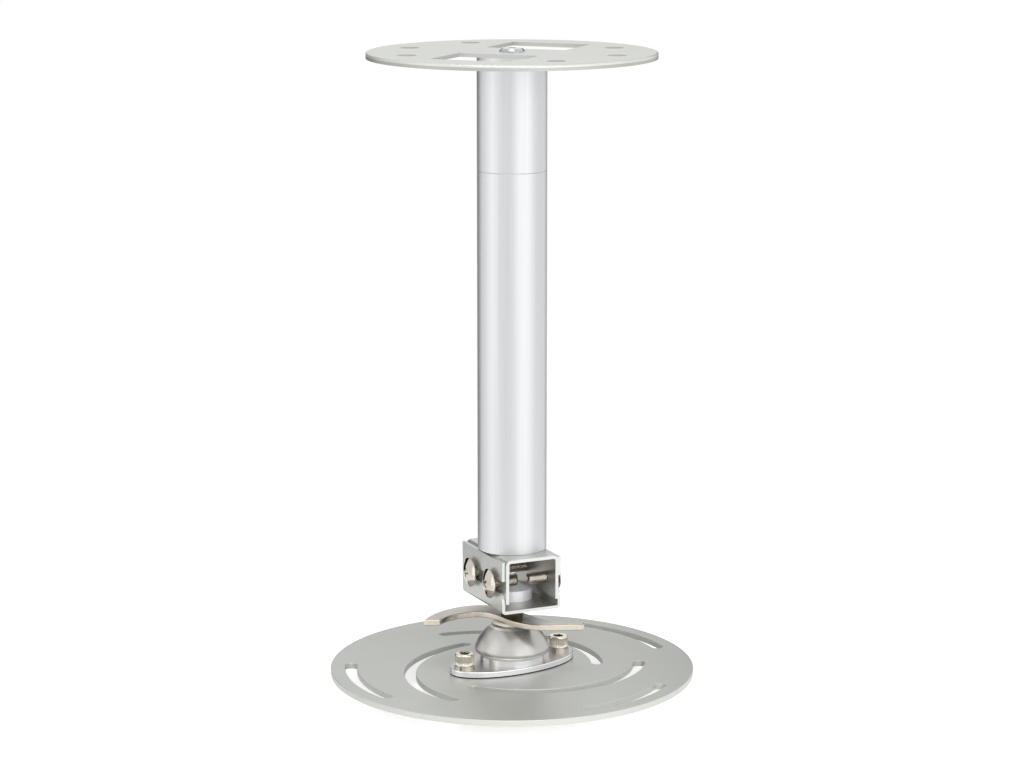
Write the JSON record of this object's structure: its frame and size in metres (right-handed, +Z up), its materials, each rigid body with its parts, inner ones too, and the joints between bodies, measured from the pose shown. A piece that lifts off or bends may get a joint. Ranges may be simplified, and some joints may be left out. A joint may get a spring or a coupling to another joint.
{
  "type": "projector ceiling mount",
  "caption": "Ceiling mount with a round ceiling plate, a tubular column, a hook-on channel bracket, a lever-locked ball head and a slotted projector plate.",
  "frame": {"origin": "centre of the ceiling plate's upper face", "axes": "+Z up to the ceiling along the column, +Y along the line of the ceiling plate's two cut-outs, +X to its right"},
  "size_m": [0.25, 0.25, 0.4288],
  "materials": {
    "grey_paint": "fine satin powder coat",
    "silver_paint": "satin silver powder coat",
    "satin_tube": "satin anodised",
    "turned_aluminium": "as turned",
    "plated_sheet": "satin nickel plate on folded sheet",
    "bright_nickel": "bright nickel plate",
    "zinc_steel": "bright zinc plate",
    "cast_housing": "die-cast, polished and satin plated",
    "pale_nylon": "moulded"
  },
  "bodies": {
    "column": {"ceiling_plate": "grey_paint", "ceiling_bolt": "bright_nickel", "upper_plug": "turned_aluminium", "upper_tube": "satin_tube", "tube_coupler": "turned_aluminium", "lower_tube": "satin_tube", "lower_plug": "turned_aluminium", "column_washer": "zinc_steel", "column_bolt": "zinc_steel", "upper_bracket": "plated_sheet", "bracket_screws": "bright_nickel"},
    "carriage": {"lower_bracket": "plated_sheet", "ball_stud": "zinc_steel", "stud_nut": "zinc_steel", "lock_collar": "pale_nylon"},
    "lever": {"lock_lever": "bright_nickel", "lever_nut": "bright_nickel"},
    "tilt": {"upper_ball_seat": "pale_nylon"},
    "roll": {"lower_ball_seat": "pale_nylon"},
    "head": {"socket_housing": "cast_housing", "flange_lock_washers": "zinc_steel", "flange_screws": "zinc_steel", "projector_plate": "silver_paint"}
  },
  "joints": [
    {"name": "bracket_slide", "type": "slide", "parent": "column", "child": "carriage", "axis": [-0.7343, 0.6788, 0], "range_m": [0, 0.052]},
    {"name": "lever_turn", "type": "hinge", "parent": "carriage", "child": "lever", "pos_m": [0, 0, -0.3884], "axis": [0, 0, 1], "range_deg": [0, 90]},
    {"name": "head_tilt", "type": "hinge", "parent": "carriage", "child": "tilt", "pos_m": [0, 0, -0.40893], "axis": [0.6788, 0.7343, 0], "range_deg": [-5, 5]},
    {"name": "head_roll", "type": "hinge", "parent": "tilt", "child": "roll", "pos_m": [0, 0, -0.40893], "axis": [-0.7343, 0.6788, 0], "range_deg": [-5, 5]},
    {"name": "head_swivel", "type": "hinge", "parent": "roll", "child": "head", "pos_m": [0, 0, -0.40893], "axis": [0, 0, 1], "continuous": true}
  ]
}
